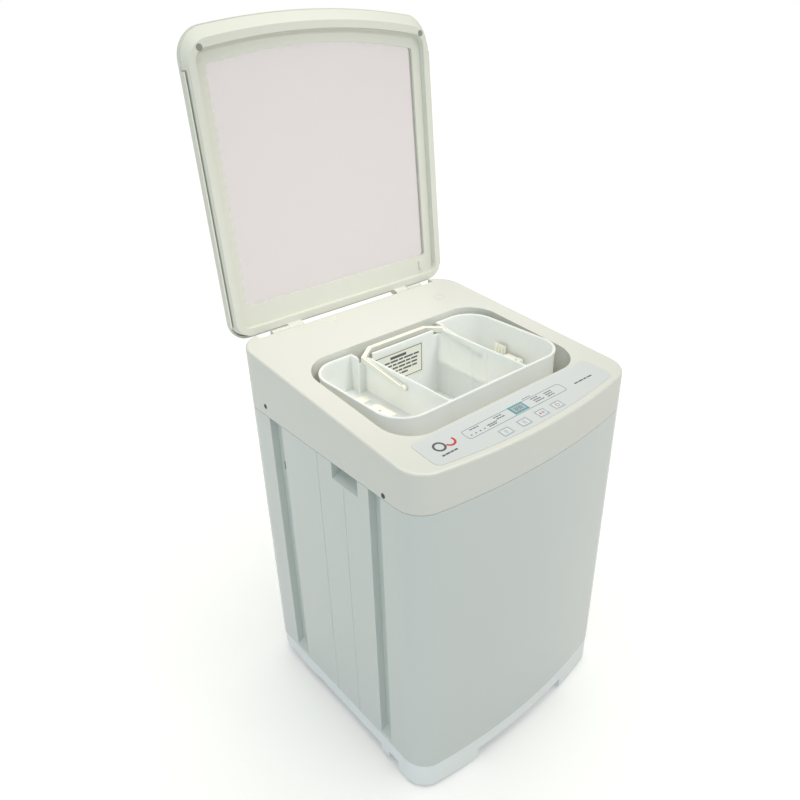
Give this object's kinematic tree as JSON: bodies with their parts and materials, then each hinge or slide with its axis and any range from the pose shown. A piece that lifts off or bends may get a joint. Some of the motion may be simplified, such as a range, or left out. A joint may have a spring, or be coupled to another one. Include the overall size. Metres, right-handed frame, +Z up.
{
  "type": "top load washing machine",
  "caption": "Compact top load washing machine, lid raised, with a windowed hinged lid, a lift-out transit basket with a bail handle, a drum with a pulsator, and a tilted control deck.",
  "frame": {"origin": "centre of the footprint of the whole object with its lid open, at floor level", "axes": "+Z up, -Y towards the front with the controls, +X to the right of someone facing the front"},
  "size_m": [0.4008, 0.4534, 1.0054],
  "materials": {
    "cover_white": "smooth warm white moulded plastic",
    "cabinet_white": "glossy cool white moulded plastic",
    "base_white": "satin cool white moulded plastic",
    "basket_white": "slightly translucent bluish white plastic",
    "handle_cream": "smooth cream plastic",
    "window_clear": "clear tinted sheet",
    "overlay_film": "pale blue-grey printed film",
    "key_face": "pale blue-grey film over a key",
    "display_glass": "teal tinted window",
    "label_paper": "printed paper label",
    "rubber_grey": "matt moulded rubber",
    "rubber_black": "matt moulded rubber",
    "steel": "bright drawn or pressed steel",
    "alloy": "as cast alloy",
    "tub_grey": "satin moulded plastic",
    "black_plastic": "satin moulded plastic",
    "board_green": "laminate board",
    "painted_steel": "grey paint on pressed steel"
  },
  "bodies": {
    "body": {"cabinet": "cabinet_white", "rear_cover": "base_white", "rear_cover_screws": "steel", "base_tray": "base_white", "rubber_feet": "rubber_black", "top_cover": "cover_white", "cover_screws": "steel", "hinge_pins": "steel", "control_overlay": "overlay_film", "display_window": "display_glass", "control_board": "board_green", "board_components": "black_plastic", "lid_switch": "black_plastic", "outer_tub": "tub_grey", "tub_cover": "tub_grey", "tub_bracket": "painted_steel", "clutch_housing": "alloy", "drum_bearings": "steel", "shaft_seal": "rubber_black", "motor": "painted_steel", "drive_belt": "rubber_black", "capacitor": "alloy", "drain_valve": "tub_grey", "drain_duct": "rubber_grey", "drain_outlet": "black_plastic", "cable_gland": "black_plastic", "inlet_valve": "tub_grey", "fill_nozzle": "tub_grey", "fill_hose": "rubber_grey", "pressure_switch": "cover_white", "suspension_hangers": "painted_steel", "suspension_rods": "steel", "damper_cups": "black_plastic", "suspension_springs": "steel"},
    "lid": {"lid_shell": "cover_white", "lid_frame": "cover_white", "lid_window": "window_clear", "lid_bumpers": "rubber_grey", "lid_magnet": "cover_white"},
    "drum": {"spin_basket": "steel", "balance_ring": "tub_grey", "lint_filter": "cover_white", "drum_hub": "steel"},
    "agitator": {"pulsator": "tub_grey", "pulsator_screw": "steel", "pulsator_shaft": "steel", "tub_pulley": "alloy"},
    "motor_rotor": {"motor_pulley": "alloy"},
    "transit_basket": {"transit_basket": "basket_white", "basket_label": "label_paper", "basket_clips": "handle_cream"},
    "handle": {"transit_handle": "handle_cream"},
    "program_key": {"program_key": "key_face"},
    "water_level_key": {"water_level_key": "key_face"},
    "start_pause_key": {"start_pause_key": "key_face"},
    "power_key": {"power_key": "key_face"}
  },
  "joints": [
    {"name": "lid_hinge", "type": "hinge", "parent": "body", "child": "lid", "pos_m": [0, 0.16997, 0.5917], "axis": [1, 0, 0], "range_deg": [0, 100.1]},
    {"name": "drum_spin", "type": "hinge", "parent": "body", "child": "drum", "pos_m": [0, -0.03374, 0.3], "axis": [0, 0, 1], "continuous": true},
    {"name": "pulsator_spin", "type": "hinge", "parent": "body", "child": "agitator", "pos_m": [0, -0.03374, 0.174], "axis": [0, 0, 1], "continuous": true},
    {"name": "motor_spin", "type": "hinge", "parent": "body", "child": "motor_rotor", "pos_m": [0.067, 0.03327, 0.068], "axis": [0, 0, 1], "continuous": true},
    {"name": "basket_lift", "type": "slide", "parent": "body", "child": "transit_basket", "axis": [0, 0, -1], "range_m": [-0.25, 0]},
    {"name": "handle_swing", "type": "hinge", "parent": "transit_basket", "child": "handle", "pos_m": [0, -0.04274, 0.562], "axis": [-1, 0, 0], "range_deg": [-81.5, 0]},
    {"name": "program_key_press", "type": "slide", "parent": "body", "child": "program_key", "axis": [0, 0.0967, -0.9953], "range_m": [0, 0.001], "stiffness_N_per_m": 1500},
    {"name": "water_level_key_press", "type": "slide", "parent": "body", "child": "water_level_key", "axis": [0, 0.0967, -0.9953], "range_m": [0, 0.001], "stiffness_N_per_m": 1500},
    {"name": "start_pause_key_press", "type": "slide", "parent": "body", "child": "start_pause_key", "axis": [0, 0.0967, -0.9953], "range_m": [0, 0.001], "stiffness_N_per_m": 1500},
    {"name": "power_key_press", "type": "slide", "parent": "body", "child": "power_key", "axis": [0, 0.0967, -0.9953], "range_m": [0, 0.001], "stiffness_N_per_m": 1500}
  ],
  "couplings": [
    {"joint": "motor_spin", "follows": "pulsator_spin", "ratio": 4.6154}
  ]
}
